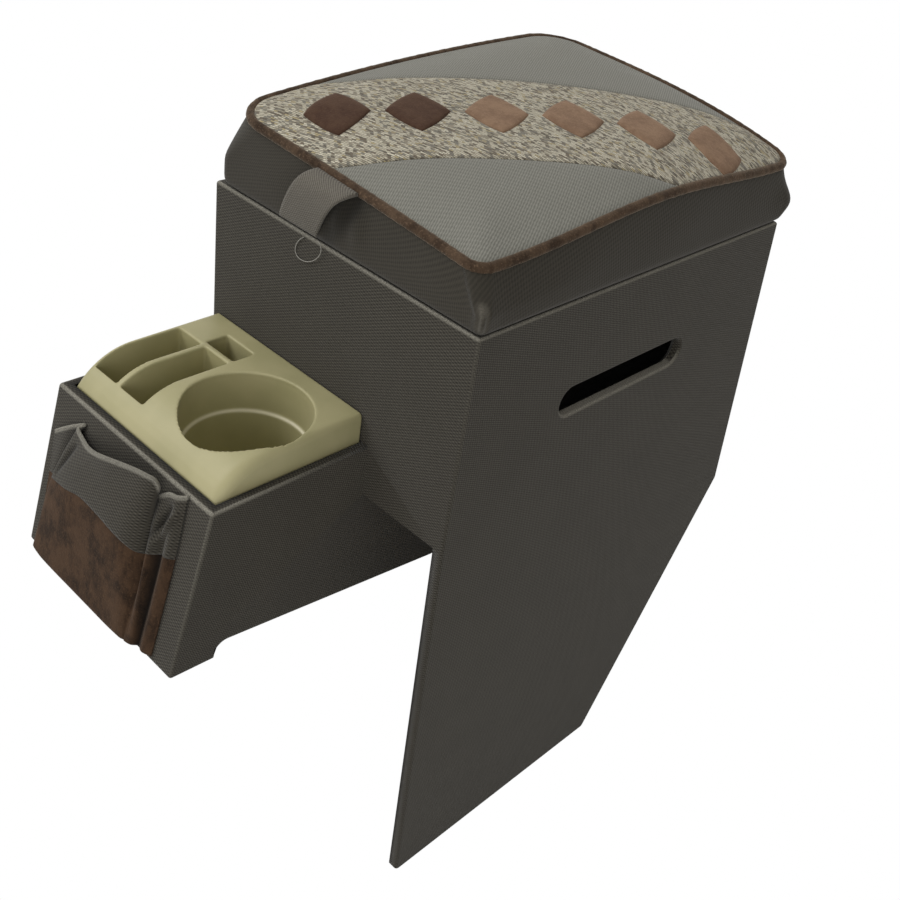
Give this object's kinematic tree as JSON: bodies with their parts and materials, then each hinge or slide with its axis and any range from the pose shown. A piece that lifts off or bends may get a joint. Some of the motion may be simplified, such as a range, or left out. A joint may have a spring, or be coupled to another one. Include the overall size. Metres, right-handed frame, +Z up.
{
  "type": "car centre armrest",
  "caption": "Fabric-covered plywood centre armrest that sits astride a car's tunnel, with a padded hinged lid, a cup tray on its nose, a sewn pocket and a side leg.",
  "frame": {"origin": "on the cabin floor below the middle of the bounding box", "axes": "+X to the right, across the car; +Y to the back of the car; +Z up"},
  "size_m": [0.24, 0.5082, 0.5522],
  "materials": {
    "charcoal_weave": "ribbed woven polyester, matt",
    "twill_grey": "coarse grey twill",
    "tweed": "cream tweed with grey and brown flecks",
    "velvet_brown": "dark brown velvet",
    "velvet_tan": "tan velvet",
    "webbing": "grey woven webbing",
    "tray_plastic": "moulded beige plastic, satin",
    "plywood": "plain birch plywood",
    "felt": "dark needle felt",
    "foam": "upholstery foam",
    "zinc": "zinc-plated steel"
  },
  "bodies": {
    "console": {"left_board": "plywood", "left_cover": "charcoal_weave", "right_board": "plywood", "right_cover": "charcoal_weave", "inner_board": "plywood", "inner_cover": "charcoal_weave", "front_board": "plywood", "front_cover": "charcoal_weave", "back_board": "plywood", "back_cover": "charcoal_weave", "storage_floor": "plywood", "storage_lining": "felt", "nose_front_board": "plywood", "nose_front_cover": "charcoal_weave", "floor_batten_left": "plywood", "floor_batten_inner": "plywood", "tray_ledge_front": "plywood", "tray_ledge_back": "plywood", "cup_tray": "tray_plastic", "pocket_band": "charcoal_weave", "pocket_panel": "velvet_brown", "pocket_gusset_left": "velvet_brown", "pocket_gusset_right": "velvet_brown", "box_hinge_leaves": "zinc", "hinge_pins": "zinc", "box_hinge_screws": "zinc"},
    "lid": {"lid_board": "plywood", "lid_lining": "felt", "lid_foam": "foam", "lid_boxing": "charcoal_weave", "lid_piping": "velvet_brown", "front_twill": "twill_grey", "tweed_band": "tweed", "back_twill": "twill_grey", "dark_lozenges": "velvet_brown", "tan_lozenges": "velvet_tan", "pull_tab": "webbing", "lid_hinge_leaves": "zinc", "lid_hinge_screws": "zinc"}
  },
  "joints": [
    {"name": "lid_hinge", "type": "hinge", "parent": "console", "child": "lid", "pos_m": [0, 0.2147, 0.49375], "axis": [-1, 0, 0], "range_deg": [0, 165]}
  ]
}
